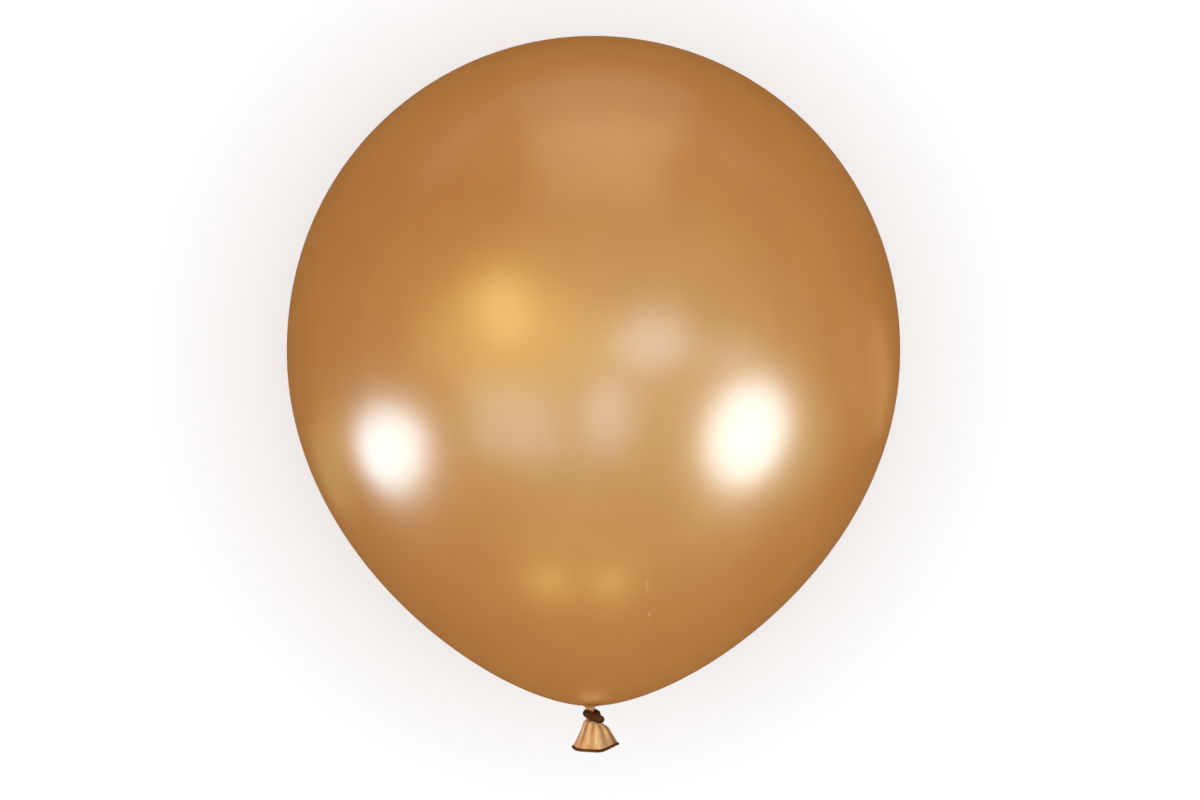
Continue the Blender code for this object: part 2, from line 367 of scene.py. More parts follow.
def rope_radius(index):
    """The rope's radius at a ring: it narrows from the neck, and swells in its front turn."""
    down = run[index]
    widths = [NECK_WIDTH / 2, ROPE_WIDTH * NECK_END_SHARE, ROPE_WIDTH / 2]
    narrowing = np.interp(down, [0, NECK_LENGTH - THROAT_ROUND, NECK_LENGTH], widths)
    away = (index / RINGS_PER_POINT - TURN_POINT) / TURN_FADE
    return narrowing * (1 + (TURN_SWELL - 1) * math.exp(-(away**2)))


def room_to_neighbours(index, outward):
    """How far each point of a ring may go before it meets another turn half way."""
    others = np.abs(run - run[index]) > OWN_STRETCH
    apart = centres[others] - centres[index]
    facing = outward @ apart.T
    half_way = (apart**2).sum(axis=1) / (2 * np.maximum(facing, NEXT_TO_NONE))
    return np.where(facing > NEXT_TO_NONE, half_way, np.inf).min(axis=1) - PRESS_GAP


# A vector from each ring towards the middle of its bend, as long as the bend's sharpness.
speed = np.linalg.norm(np.gradient(centres, axis=0), axis=1)
sharpness = np.gradient(headings, axis=0) / speed[:, None]

for index in range(len(centres)):
    share = run[index] / run[-1]
    turned = AROUND + leftover * smooth_step(share)
    outward = np.outer(np.cos(turned), rights[index]) + np.outer(np.sin(turned), backs[index])
    level = np.stack([np.cos(AROUND), np.sin(AROUND), np.zeros(SIDES)], axis=1)
    levelling = smooth_step((share - LEVEL_OUT) / (1 - LEVEL_OUT))
    outward = outward * (1 - levelling) + level * levelling
    outward /= np.linalg.norm(outward, axis=1)[:, None]
    fold = gathers()
    wish = rope_radius(index) + GATHER_DEPTH * fold
    room = np.minimum(room_to_neighbours(index, outward), MOST_ROOM)
    inward = np.maximum(outward @ sharpness[index], GENTLEST_BEND)
    room = np.minimum(room, BEND_SHARE / inward)
    # A soft minimum of the two, so that the pressed side has no hard edge.
    reach = -SOFT_EDGE * np.logaddexp(-wish / SOFT_EDGE, -room / SOFT_EDGE)
    pale_strand_away = (index / RINGS_PER_POINT - PALE_STRAND_POINT) / PALE_STRAND_FADE
    tightness_and_shade = smooth_step(run[index] / NECK_LENGTH) * (1 - COLLAR_LOOSENESS * levelling)
    tightness_and_shade *= 1 - PALE_STRAND_SHARE * math.exp(-(pale_strand_away**2))
    add_ring(centres[index] + outward * reach[:, None], 1.0, tightness_and_shade, fold)
knot_rings = len(rings) - body_rings
print(f"{knot_rings} rings of knot")

# %% [markdown]
# The tail
#
# Below the knot the tube is free to open again. It is wider than it is deep, because it was
# pinched flat while it was tied, and its pleats run down from the knot and die out towards the
# lip. One formula gives the middle of the wall for any place round and down the tail. The outer
# and the inner face stand half a wall away from it. The knot's turns lie on top of the tail, so
# the wall is pushed down until it is clear of their undersides.

# %% Say where the wall of the tail runs
TAIL_WIDTH = 0.0465
TAIL_DEPTH = 0.027
TAIL_LENGTH = 0.027
TAIL_DRIFT = 0.0008
SLANT_HEIGHT = 0.0024
SLANT_SHARE = 0.14
SLANT_FADE = 0.13
SLANT_GROWN_AT = 1 / 12
COLLAR_SHARE = 0.38
SHOULDER_SHARE = 0.33
SHOULDER_REACH = 0.07
FLARE_POWER = 1.1
LATEX_WALL = 0.0006
LIP_THICKNESS = 0.0024
PLEATS = 9
PLEAT_DEPTH = 0.0010
PLEATS_GROWN_AT = 1 / 6
PLEAT_LEFT_AT_LIP = 0.2
LIP_RISE = 0.002
LIP_BOW = 0.002
LIP_FRONT_DROP = 0.001
LIP_RIPPLE = 0.0005
LIP_RIPPLES = 5
PLEAT_UNEVEN = 0.2
PLEAT_UNEVEN_START = 0.7
WRINKLE_DEPTH = 0.00028
COLLAR_SOFTNESS = 6


def flare(share):
    """How far the tail has opened: 0 at the collar, 1 at the lip."""
    shoulder = (1 - math.exp(-share / SHOULDER_REACH)) / (1 - math.exp(-1 / SHOULDER_REACH))
    return SHOULDER_SHARE * shoulder + (1 - SHOULDER_SHARE) * share**FLARE_POWER


def opened_to(full_width, share):
    """Half of the tail's width or depth, never less than the rope that it comes out of."""
    start = ROPE_WIDTH * COLLAR_SHARE
    half = start + (full_width / 2 - LIP_THICKNESS / 2 - start) * flare(share)
    rope = ROPE_WIDTH / 2 - LATEX_WALL / 2
    return (half**COLLAR_SOFTNESS + rope**COLLAR_SOFTNESS) ** (1 / COLLAR_SOFTNESS)


def pleats(share):
    """How far the wall stands out of its plain flare, all round."""
    grown = min(1.0, share / PLEATS_GROWN_AT)
    main = PLEAT_DEPTH * (1 - (1 - PLEAT_LEFT_AT_LIP) * share) * np.cos(PLEATS * AROUND)
    main *= 1 + PLEAT_UNEVEN * np.cos(2 * AROUND + PLEAT_UNEVEN_START)
    wrinkles = WRINKLE_DEPTH * (1 - share) * gathers()
    return grown * main + wrinkles


knot_radii = np.array([rope_radius(i) for i in range(len(centres))])
over_tail = run < run[-1] - OWN_STRETCH
WALL_CLEARANCE = 0.0007
UNDER_SOFTNESS = 0.0006
# Further out than the first share of its radius, the underside of a round rope is steeper than
# 4 in 3. The second share is how deep it is there.
STEEP_FROM = 0.8
DEPTH_THERE = 0.6
STEEPEST = 4 / 3


def under_knot(points, clearance=WALL_CLEARANCE):
    """Points moved down far enough to pass under every turn of the knot."""
    turns = centres[over_tail]
    radii = knot_radii[over_tail] + clearance
    sideways = np.linalg.norm(points[:, None, :2] - turns[None, :, :2], axis=2)
    round_part = np.sqrt(np.maximum(radii**2 - sideways**2, 0))
    sloping_part = DEPTH_THERE * radii - (sideways - STEEP_FROM * radii) * STEEPEST
    below = np.where(sideways < STEEP_FROM * radii, round_part, sloping_part)
    ceiling = (turns[:, 2] - below).min(axis=1)
    lowered = points.copy()
    soft = np.logaddexp(-points[:, 2] / UNDER_SOFTNESS, -ceiling / UNDER_SOFTNESS)
    lowered[:, 2] = -UNDER_SOFTNESS * soft
    return lowered


def tail_wall(share):
    """The middle of the wall all round, at a share of the way from the collar to the lip."""
    out = pleats(share)
    slant = math.exp(-(((share - SLANT_SHARE) / SLANT_FADE) ** 2))
    slant *= SLANT_HEIGHT * min(1.0, share / SLANT_GROWN_AT)
    drop = TAIL_LENGTH - LIP_RISE * np.cos(AROUND) - LIP_FRONT_DROP * np.sin(AROUND)
    drop += LIP_RIPPLE * np.cos(LIP_RIPPLES * AROUND) - LIP_BOW * np.cos(2 * AROUND)
    right = collar[0] + TAIL_DRIFT * share
    free = [
        right + (opened_to(TAIL_WIDTH, share) + out) * np.cos(AROUND),
        collar[1] + (opened_to(TAIL_DEPTH, share) + out) * np.sin(AROUND),
        collar[2] - drop * share - slant * np.cos(AROUND),
    ]
    return under_knot(np.stack(free, axis=1))


def wall_directions(share, step=0.004):
    """The way down the wall and the way straight out of it, all round."""
    down = tail_wall(share + step) - tail_wall(share - step)
    down /= np.linalg.norm(down, axis=1)[:, None]
    middle = tail_wall(share)
    around = np.roll(middle, -1, axis=0) - np.roll(middle, 1, axis=0)
    out = np.cross(down, around)
    return down, out / np.linalg.norm(out, axis=1)[:, None]


print(f"the tail opens from {ROPE_WIDTH * 1000:.1f} mm to {TAIL_WIDTH * 1000:.1f} mm")

# %% Make the outer face, the rolled lip and the inner face
OUTER_STEPS = 60
LIP_STEPS = 18
INNER_STEPS = 44
RING_CROWDING = 1.5
FIRST_SHARE = 0.012
LAST_SHARE = 0.085
LIP_UNEVEN = 0.05
LIP_UNEVEN_START = 1.0
PAST_TURN_STEPS = 6
PAST_TURN_SQUEEZE = 0.15
PAST_TURN_DROP = 0.001
SHADED_SIDE = -28
SHADED_WIDTH = 34
SHADE_DEPTH = 1.0
COLLAR_TIGHTNESS = 1 - COLLAR_LOOSENESS
TIGHT_OUTSIDE = 0.035
THROAT_SHADE = 0.6
THROAT_SHADE_REACH = 0.12
BEAD_REACH = 1.35
# The wall stops just before the bead, which takes over from there.
WALL_END = 1 - BEAD_REACH * (LIP_THICKNESS / 2) / TAIL_LENGTH


def tail_shares(steps, first):
    """Shares of the way down, closer together near the knot, where the tail bends most."""
    return [first + (WALL_END - first) * (i / steps) ** RING_CROWDING for i in range(steps + 1)]


# Painted shade darkens the right side of the front, through the fold value; the wall keeps its
# shape.
right_front = np.angle(np.exp(1j * (AROUND - math.radians(SHADED_SIDE))))
painted_right_shade = SHADE_DEPTH * np.exp(-((right_front / math.radians(SHADED_WIDTH)) ** 2))

# Where a turn of the knot lies on the tail, the rope first runs down past the turn, and the
# wall then starts out under it.
last_rope = rings[-1]
down, out = wall_directions(FIRST_SHARE)
drop = last_rope[:, 2] - (tail_wall(FIRST_SHARE) + out * LATEX_WALL / 2)[:, 2]
squeezed = 1 - PAST_TURN_SQUEEZE * np.clip(drop / PAST_TURN_DROP - 1, 0, 1)
for i in range(1, PAST_TURN_STEPS + 1):
    passing = last_rope.copy()
    passing[:, :2] = collar[:2] + (last_rope[:, :2] - collar[:2]) * squeezed[:, None]
    passing[:, 2] -= drop * i / PAST_TURN_STEPS
    add_ring(passing, 1.0, COLLAR_TIGHTNESS, gathers())

for share in tail_shares(OUTER_STEPS, FIRST_SHARE):
    down, out = wall_directions(share)
    # The fold value here also carries the painted shade on the right side.
    fold = pleats(share) / PLEAT_DEPTH - painted_right_shade * share
    # Just under the knot the outer face darkens, partly as tightly held latex and partly as
    # painted shade.
    tightness_and_shade = COLLAR_TIGHTNESS * math.exp(-share / TIGHT_OUTSIDE)
    add_ring(tail_wall(share) + out * LATEX_WALL / 2, 1.0, tightness_and_shade, fold)

# The bead's section is a circle that starts and ends where the wall runs into it. Two waves, with
# three and seven rises round the lip, make it a little thicker in some places than in others.
down, out = wall_directions(1.0)
waves = np.cos(3 * AROUND + LIP_UNEVEN_START) * np.cos(7 * AROUND)
bead = LIP_THICKNESS / 2 * (1 + LIP_UNEVEN * waves)
join = math.asin(LATEX_WALL / LIP_THICKNESS)
lip_start = len(rings)
for i in range(LIP_STEPS + 1):
    turn = join + (2 * math.pi - 2 * join) * i / LIP_STEPS
    spoke = out * math.sin(turn) - down * math.cos(turn)
    add_ring(tail_wall(1.0) + spoke * bead[:, None], 1.0, 0.0, 0.0)
lip_end = len(rings)

for share in reversed(tail_shares(INNER_STEPS, LAST_SHARE)):
    down, out = wall_directions(share)
    fold = -pleats(share) / PLEAT_DEPTH
    # Towards the throat the inner face is darkened by painted shade in the hollow of the tail.
    tightness_and_shade = THROAT_SHADE * math.exp(-share / THROAT_SHADE_REACH)
    add_ring(tail_wall(share) - out * LATEX_WALL / 2, 1.0, tightness_and_shade, fold)
print(f"{len(rings) - knot_rings - body_rings} rings of tail, {lip_end - lip_start} of them lip")

# %% Close the throat of the tail under the knot
THROAT_STEPS_IN = 14
THROAT_CLEARANCE = 0.0012
SETTLED_AFTER = 0.3
THROAT_RIM_SHADE = 0.3
deepest = rings[-1]
throat_middle = deepest.mean(axis=0)
for i in range(1, THROAT_STEPS_IN):
    width = 1 - i / THROAT_STEPS_IN
    inward = throat_middle + (deepest - throat_middle) * width
    closing = under_knot(inward, THROAT_CLEARANCE)
    settled = smooth_step((1 - width) / SETTLED_AFTER)
    points = inward * (1 - settled) + closing * settled
    fold = -pleats(LAST_SHARE) / PLEAT_DEPTH * width**2
    # The closed throat darkens towards its middle under the knot, as painted shade.
    tightness_and_shade = THROAT_RIM_SHADE + (1 - THROAT_RIM_SHADE) * smooth_step(2 * (1 - width))
    add_ring(points, 1.0, tightness_and_shade, fold)
crown_tip = np.array([[0.0, 0.0, CROWN_HEIGHT]])
throat_tip = under_knot(throat_middle[None], THROAT_CLEARANCE)
print("the inside of the tail ends in a closed, gathered throat")

# %% [markdown]
# Resting on the floor
#
# An air-filled skin flattens where it touches the floor. Cutting it off would leave a hard edge,
# so points that would be below the floor are pressed up to it by a soft limit, which leaves the
# skin alone a millimetre higher up.

# %% Lay the skin down and press its resting spot flat
PRESS_SOFTNESS = 0.0004
FLAT_BELOW = 0.0002
upright = np.vstack([crown_tip, *rings, throat_tip])
places = laid_down(upright)
places[:, 2] = PRESS_SOFTNESS * np.logaddexp(0, places[:, 2] / PRESS_SOFTNESS)
flat = places[places[:, 2] < FLAT_BELOW]
print(f"resting spot {np.ptp(flat[:, 0]) * 1000:.0f} x {np.ptp(flat[:, 1]) * 1000:.0f} mm")

# %% Join the rings into one closed skin
crown = 0
throat = len(upright) - 1


def ring_start(number):
    return 1 + number * SIDES


faces = []
for i in range(SIDES):
    after = (i + 1) % SIDES
    faces.append((crown, ring_start(0) + i, ring_start(0) + after))
for number in range(len(rings) - 1):
    upper, lower = ring_start(number), ring_start(number + 1)
    for i in range(SIDES):
        after = (i + 1) % SIDES
        faces.append((upper + i, lower + i, lower + after, upper + after))
last = ring_start(len(rings) - 1)
for i in range(SIDES):
    after = (i + 1) % SIDES
    faces.append((last + i, throat, last + after))

skin_mesh = bpy.data.meshes.new("balloon_skin")
skin_mesh.from_pydata(places.tolist(), [], faces)
skin_mesh.shade_smooth()
skin = bpy.data.objects.new("balloon_skin", skin_mesh)
bpy.context.scene.collection.objects.link(skin)

# What each ring is like goes along as named values on the points, for the materials to read. The
# tightness and the fold also set where the materials paint shade.
for name, values in marks.items():
    attribute = skin_mesh.attributes.new(name, "FLOAT", "POINT")
    spread = np.concatenate([values[0][:1], *values, values[-1][:1]])
    attribute.data.foreach_set("value", spread.astype(np.float32))
triangles = sum(len(face) - 2 for face in faces)
print(f"one skin of {len(places)} points and {triangles} triangles")

# %% [markdown]
# Small helpers for shader nodes
#
# Materials and groups are trees of nodes. Three short functions keep the next cells readable: one
# adds a node and sets its values, one adds a mix and feeds it, and one starts a group with named
# inputs and outputs.

# %% Make helpers for node trees
def add_node(tree, kind, place, settings=None, values=None):
    """A new node at a place in the tree, with its settings and its unlinked inputs."""
    node = tree.nodes.new(kind)
    node.location = place
    for name, value in (settings or {}).items():
        setattr(node, name, value)
    for name, value in (values or {}).items():
        node.inputs[name].default_value = value
    return node


def mixed(tree, place, kind, share, first, second):
    """The output of a mix of two numbers (FLOAT) or two colours (RGBA). What it is fed is either
    an output of another node or a plain value."""
    node = add_node(tree, "ShaderNodeMix", place, {"data_type": kind})
    number_of_first, number_out = {"FLOAT": (2, 0), "RGBA": (6, 2)}[kind]
    fed = {0: share, number_of_first: first, number_of_first + 1: second}
    for number, source in fed.items():
        if isinstance(source, bpy.types.NodeSocket):
            tree.links.new(source, node.inputs[number])
        else:
            node.inputs[number].default_value = source
    return node.outputs[number_out]


def new_group(name, inputs, outputs):
    """A shader group with named inputs and outputs, as (tree, input node, output node)."""
    tree = bpy.data.node_groups.new(name, "ShaderNodeTree")
    for socket_name, kind, value in inputs:
        socket = tree.interface.new_socket(socket_name, in_out="INPUT", socket_type=kind)
        socket.default_value = value
    for socket_name, kind in outputs:
        tree.interface.new_socket(socket_name, in_out="OUTPUT", socket_type=kind)
    start = add_node(tree, "NodeGroupInput", (-900, 0))
    end = add_node(tree, "NodeGroupOutput", (900, 0))
    return tree, start, end


NUMBER = "NodeSocketFloat"
COLOUR = "NodeSocketColor"

# %% [markdown]
# Metal powder in the latex
#
# The gold comes from fine metal powder in the latex. From a step away it is smooth. Close up it
# has a grain, and the powder lies a little denser in some clouds than in others. Every part of
# the balloon has it, at another strength, so it is a group. It mixes a light and a deep gold by
# soft clouds and fine grain, and lets the same pattern change the roughness and the height.

# %% Build the powder group
def powder_group():
    """Gold that varies by soft clouds and fine grain, with its roughness and its height."""
    tree, start, end = new_group(
        "metal_powder",
        [
            ("Light Gold", COLOUR, (0.6, 0.3, 0.1, 1.0)),
            ("Deep Gold", COLOUR, (0.5, 0.2, 0.05, 1.0)),
            ("Cloud Scale", NUMBER, 9.0),
            ("Grain Scale", NUMBER, 1600.0),
            ("Grain Share", NUMBER, 0.25),
            ("Smoothest", NUMBER, 0.3),
            ("Roughest", NUMBER, 0.36),
        ],
        [("Color", COLOUR), ("Roughness", NUMBER), ("Height", NUMBER)],
    )
    link = tree.links.new
    place = add_node(tree, "ShaderNodeTexCoord", (-900, 300))
    clouds = add_node(
        tree, "ShaderNodeTexNoise", (-600, 300), None, {"Detail": 3.0, "Roughness": 0.5}
    )
    grain = add_node(
        tree, "ShaderNodeTexNoise", (-600, 0), None, {"Detail": 2.0, "Roughness": 0.6}
    )
    link(place.outputs["Object"], clouds.inputs["Vector"])
    link(place.outputs["Object"], grain.inputs["Vector"])
    given = start.outputs
    link(given["Cloud Scale"], clouds.inputs["Scale"])
    link(given["Grain Scale"], grain.inputs["Scale"])
    cloud = clouds.outputs["Fac"]
    speck = grain.outputs["Fac"]
    both = mixed(tree, (-300, 200), "FLOAT", given["Grain Share"], cloud, speck)
    spread = add_node(
        tree, "ShaderNodeMapRange", (-60, 200), None, {"From Min": 0.35, "From Max": 0.65}
    )
    link(both, spread.inputs["Value"])
    share = spread.outputs["Result"]
    colour = mixed(tree, (250, 200), "RGBA", share, given["Light Gold"], given["Deep Gold"])
    rough = mixed(tree, (250, -100), "FLOAT", share, given["Smoothest"], given["Roughest"])
    link(colour, end.inputs["Color"])
    link(rough, end.inputs["Roughness"])
    link(speck, end.inputs["Height"])
    return tree


metal_powder = powder_group()
print("group", metal_powder.name, "made")

# %% [markdown]
# Streaks from the dipping bath
#
# A balloon is made by dipping a form in liquid latex. The latex runs as it sets, which leaves
# faint streaks along the balloon, from the neck to the crown. A noise that is drawn out along
# the balloon's length gives streaks that stay in place from every side.

# %% Build the streak group
def streak_group():
    """Streaks drawn out along the balloon, as a colour and as a height."""
    tree, start, end = new_group(
        "dip_streaks",
        [
            ("Color", COLOUR, (0.5, 0.3, 0.1, 1.0)),
            ("Streak Color", COLOUR, (0.4, 0.2, 0.05, 1.0)),
            ("Scale", NUMBER, 30.0),
            ("Strength", NUMBER, 0.2),
        ],
        [("Color", COLOUR), ("Height", NUMBER)],
    )
    link = tree.links.new
    place = add_node(tree, "ShaderNodeTexCoord", (-900, 300))
    drawn_out = add_node(tree, "ShaderNodeMapping", (-700, 300), None, {"Scale": (1, 0.05, 1)})
    noise = add_node(
        tree, "ShaderNodeTexNoise", (-450, 300), None, {"Detail": 3.0, "Roughness": 0.55}
    )
    spread = add_node(
        tree, "ShaderNodeMapRange", (-200, 300), None, {"From Min": 0.4, "From Max": 0.75}
    )
    amount = add_node(tree, "ShaderNodeMath", (50, 250), {"operation": "MULTIPLY"})
    given = start.outputs
    link(place.outputs["Object"], drawn_out.inputs["Vector"])
    link(drawn_out.outputs["Vector"], noise.inputs["Vector"])
    link(given["Scale"], noise.inputs["Scale"])
    link(noise.outputs["Fac"], spread.inputs["Value"])
    link(spread.outputs["Result"], amount.inputs[0])
    link(given["Strength"], amount.inputs[1])
    share = amount.outputs[0]
    colour = mixed(tree, (300, 200), "RGBA", share, given["Color"], given["Streak Color"])
    link(colour, end.inputs["Color"])
    link(noise.outputs["Fac"], end.inputs["Height"])
    return tree


dip_streaks = streak_group()
print("group", dip_streaks.name, "made")

# %% [markdown]
# Painted shade in the valleys between the folds
#
# Where the latex is gathered, little light reaches the bottom of a fold, and that shade is painted
# into the colour; fine powder settles there too. The skin carries how far in or out each point
# stands. The group turns that into a mask, paints shade into the valleys and makes them rougher.

# %% Build the fold group
VALLEY_ROUGHNESS = 0.75


def fold_group():
    """Painted shade and roughness in the valleys, from the fold value that the skin carries."""
    tree, start, end = new_group(
        "fold_valley_shade",
        [
            ("Color", COLOUR, (0.5, 0.3, 0.1, 1.0)),
            ("Valley Shade Color", COLOUR, (0.2, 0.08, 0.02, 1.0)),
            ("Roughness", NUMBER, 0.4),
            ("Fold", NUMBER, 0.0),
            ("Strength", NUMBER, 0.5),
        ],
        [("Color", COLOUR), ("Roughness", NUMBER)],
    )
    link = tree.links.new
    depth = add_node(
        tree, "ShaderNodeMapRange", (-600, 200), None, {"From Min": 0.1, "From Max": -0.9}
    )
    amount = add_node(tree, "ShaderNodeMath", (-350, 200), {"operation": "MULTIPLY"})
    given = start.outputs
    link(given["Fold"], depth.inputs["Value"])
    link(depth.outputs["Result"], amount.inputs[0])
    link(given["Strength"], amount.inputs[1])
    share = amount.outputs[0]
    colour = mixed(tree, (0, 200), "RGBA", share, given["Color"], given["Valley Shade Color"])
    rough = mixed(tree, (0, -100), "FLOAT", share, given["Roughness"], VALLEY_ROUGHNESS)
    link(colour, end.inputs["Color"])
    link(rough, end.inputs["Roughness"])
    return tree


fold_valley_shade = fold_group()
print("group", fold_valley_shade.name, "made")

# %% [markdown]
# Short creases
#
# Low on the body, a little right of the middle, the photograph shows two short and faint pale
# lines, as a fold leaves in the latex while it lies in its bag. A crease is a long thin ellipse
# round a place on the skin, and inside it the gold is paler. The group is handed the place and
# the size, so it can draw any number of creases one after the other.

# %% Build the crease group
def crease_group():
    """A pale line round a place on the skin. Its size is half of its width, length and depth."""
    tree, start, end = new_group(
        "crease_line",
        [
            ("Color", COLOUR, (0.5, 0.3, 0.1, 1.0)),
            ("Crease Color", COLOUR, (0.72, 0.44, 0.20, 1.0)),
            ("Middle", "NodeSocketVector", (0.0, 0.0, 0.0)),
            ("Size", "NodeSocketVector", (0.001, 0.01, 0.01)),
            ("Strength", NUMBER, 0.5),
        ],
        [("Color", COLOUR)],
    )
    link = tree.links.new
    place = add_node(tree, "ShaderNodeTexCoord", (-900, 300))
    away = add_node(tree, "ShaderNodeVectorMath", (-650, 300), {"operation": "SUBTRACT"})
    scaled = add_node(tree, "ShaderNodeVectorMath", (-450, 300), {"operation": "DIVIDE"})
    distance = add_node(tree, "ShaderNodeVectorMath", (-250, 300), {"operation": "LENGTH"})
    inside = add_node(
        tree,
        "ShaderNodeMapRange",
        (-50, 300),
        {"interpolation_type": "SMOOTHSTEP"},
        {"From Min": 1.0, "From Max": 0.3},
    )
    amount = add_node(tree, "ShaderNodeMath", (200, 250), {"operation": "MULTIPLY"})
    given = start.outputs
    link(place.outputs["Object"], away.inputs[0])
    link(given["Middle"], away.inputs[1])
    link(away.outputs["Vector"], scaled.inputs[0])
    link(given["Size"], scaled.inputs[1])
    link(scaled.outputs["Vector"], distance.inputs[0])
    link(distance.outputs["Value"], inside.inputs["Value"])
    link(inside.outputs["Result"], amount.inputs[0])
    link(given["Strength"], amount.inputs[1])
    share = amount.outputs[0]
    colour = mixed(tree, (450, 200), "RGBA", share, given["Color"], given["Crease Color"])
    link(colour, end.inputs["Color"])
    return tree


crease_line = crease_group()
print("group", crease_line.name, "made")

# %% [markdown]
# Three finishes of one latex
#
# Stretched latex is thin, tight and glossy, so the powder in it shines like metal under a clear
# skin. Unstretched latex is thick and matte, and paler; its knot and the inside of its tail are
# darkened with painted shade. The rolled lip is several layers of it, and its dark brown is partly
# that thickness and partly painted shade along the bead.
# Each finish is a material with the same three groups at its own values. Gloss that is the same
# all over is set on the shader itself.

# %% Start every latex material in the same way
# The groups that every finish has, with how far along its tree each stands.
LATEX_GROUPS = [
    ("powder", metal_powder, -500),
    ("streaks", dip_streaks, -200),
    ("folds", fold_valley_shade, 350),
]


def attribute_value(tree, name, place):
    """The named value that the skin carries."""
    node = add_node(tree, "ShaderNodeAttribute", place, {"attribute_name": name})
    return node.outputs["Fac"]


def latex_material(name, look):
    """A latex finish. The look names the colours and strengths that set it apart."""
    material = bpy.data.materials.new(name)
    material.use_nodes = True
    tree = material.node_tree
    link = tree.links.new
    shader = tree.nodes["Principled BSDF"]
    shader.location = (900, 0)
    powder, streaks, folds = (
        add_node(tree, "ShaderNodeGroup", (along, 0), {"node_tree": group}, look[name])
        for name, group, along in LATEX_GROUPS
    )
    held = attribute_value(tree, look["held_by"], (-200, -300))
    tint = mixed(tree, (80, 0), "RGBA", held, streaks.outputs["Color"], look["held_color_and_shade"])
    link(attribute_value(tree, "fold", (80, -300)), folds.inputs["Fold"])
    link(powder.outputs["Color"], streaks.inputs["Color"])
    link(tint, folds.inputs["Color"])
    link(powder.outputs["Roughness"], folds.inputs["Roughness"])
    link(folds.outputs["Color"], shader.inputs["Base Color"])
    link(folds.outputs["Roughness"], shader.inputs["Roughness"])
    grain = {"Distance": look["grain_height"], "Strength": 1.0}
    bump = add_node(tree, "ShaderNodeBump", (600, -300), None, grain)
    streak_share = {1: look["streak_relief"]}
    relief = add_node(
        tree, "ShaderNodeMath", (400, -300), {"operation": "MULTIPLY_ADD"}, streak_share
    )
    link(streaks.outputs["Height"], relief.inputs[0])
    link(powder.outputs["Height"], relief.inputs[2])
    link(relief.outputs[0], bump.inputs["Height"])
    link(bump.outputs["Normal"], shader.inputs["Normal"])
    for socket, value in look["gloss"].items():
        shader.inputs[socket].default_value = value
    return material


# %% Make the stretched, gathered and rolled latex
stretched_latex = latex_material(
    "stretched_latex",
    {
        "powder": {
            "Light Gold": (0.550, 0.246, 0.049, 1.0),
            "Deep Gold": (0.518, 0.220, 0.039, 1.0),
            "Smoothest": 0.31,
            "Roughest": 0.35,
            "Grain Share": 0.2,
        },
        "streaks": {"Streak Color": (0.47, 0.185, 0.034, 1.0), "Scale": 26.0, "Strength": 0.25},
        "held_by": "slack",
        "held_color_and_shade": (0.60, 0.30, 0.10, 1.0),
        "folds": {"Valley Shade Color": (0.32, 0.13, 0.03, 1.0), "Strength": 0.5},
        "grain_height": 0.000004,
        "streak_relief": 0.0,
        "gloss": {
            "Metallic": 0.25,
            "Specular IOR Level": 0.2,
            "Specular Tint": (0.85, 0.55, 0.3, 1.0),
            "Coat Roughness": 0.28,
            "Coat IOR": 1.9,
        },
    },
)
gathered_latex = latex_material(
    "gathered_latex",
    {
        "powder": {
            "Light Gold": (0.83, 0.47, 0.245, 1.0),
            "Deep Gold": (0.73, 0.385, 0.18, 1.0),
            "Cloud Scale": 60.0,
            "Smoothest": 0.42,
            "Roughest": 0.55,
            "Grain Share": 0.35,
        },
        "streaks": {"Streak Color": (0.47, 0.22, 0.085, 1.0), "Scale": 420.0, "Strength": 0.6},
        "held_by": "tightness_and_shade",
        # The near-black knot colour is partly its dense latex and partly painted shade in the
        # knot.
        "held_color_and_shade": (0.070, 0.019, 0.003, 1.0),
        "folds": {"Valley Shade Color": (0.10, 0.035, 0.010, 1.0), "Strength": 0.6},
        "grain_height": 0.00002,
        "streak_relief": 8.0,
        "gloss": {
            "Metallic": 0.45,
            "Specular IOR Level": 0.25,
            "Specular Tint": (0.9, 0.6, 0.35, 1.0),
            "Coat Weight": 0.08,
            "Coat Roughness": 0.3,
        },
    },
)
# The lip's dark brown is partly its thick rolled latex and partly painted shade along the bead.
rolled_latex = latex_material(
    "rolled_latex",
    {
        "powder": {
            "Light Gold": (0.17, 0.058, 0.011, 1.0),
            "Deep Gold": (0.085, 0.026, 0.005, 1.0),
            "Cloud Scale": 90.0,
            "Smoothest": 0.36,
            "Roughest": 0.5,
            "Grain Share": 0.35,
        },
        "streaks": {"Streak Color": (0.08, 0.03, 0.008, 1.0), "Scale": 300.0, "Strength": 0.5},
        "held_by": "tightness_and_shade",
        "held_color_and_shade": (0.13, 0.048, 0.013, 1.0),
        "folds": {"Valley Shade Color": (0.08, 0.03, 0.008, 1.0), "Strength": 0.5},
        "grain_height": 0.00002,
        "streak_relief": 2.0,
        "gloss": {
            "Metallic": 0.5,
            "Specular IOR Level": 0.3,
            "Specular Tint": (0.9, 0.6, 0.35, 1.0),
            "Coat Weight": 0.12,
            "Coat Roughness": 0.25,
        },
    },
)

# Slack latex is matte, so the gloss of the stretched skin fades where the neck begins.
tree = stretched_latex.node_tree
fading = add_node(tree, "ShaderNodeMapRange", (600, -600), None, {"To Min": 1.0, "To Max": 0.1})
tree.links.new(attribute_value(tree, "slack", (350, -600)), fading.inputs["Value"])
tree.links.new(fading.outputs["Result"], tree.nodes["Principled BSDF"].inputs["Coat Weight"])
print("materials:", stretched_latex.name, gathered_latex.name, rolled_latex.name)

# %% Draw two creases into the stretched latex
# Each crease: the pixel at its middle, its length, its width and its strength.
CREASES = [((647, 587), 0.024, 0.0024, 0.5), ((649.5, 615), 0.012, 0.0026, 0.6)]
bpy.context.view_layer.update()


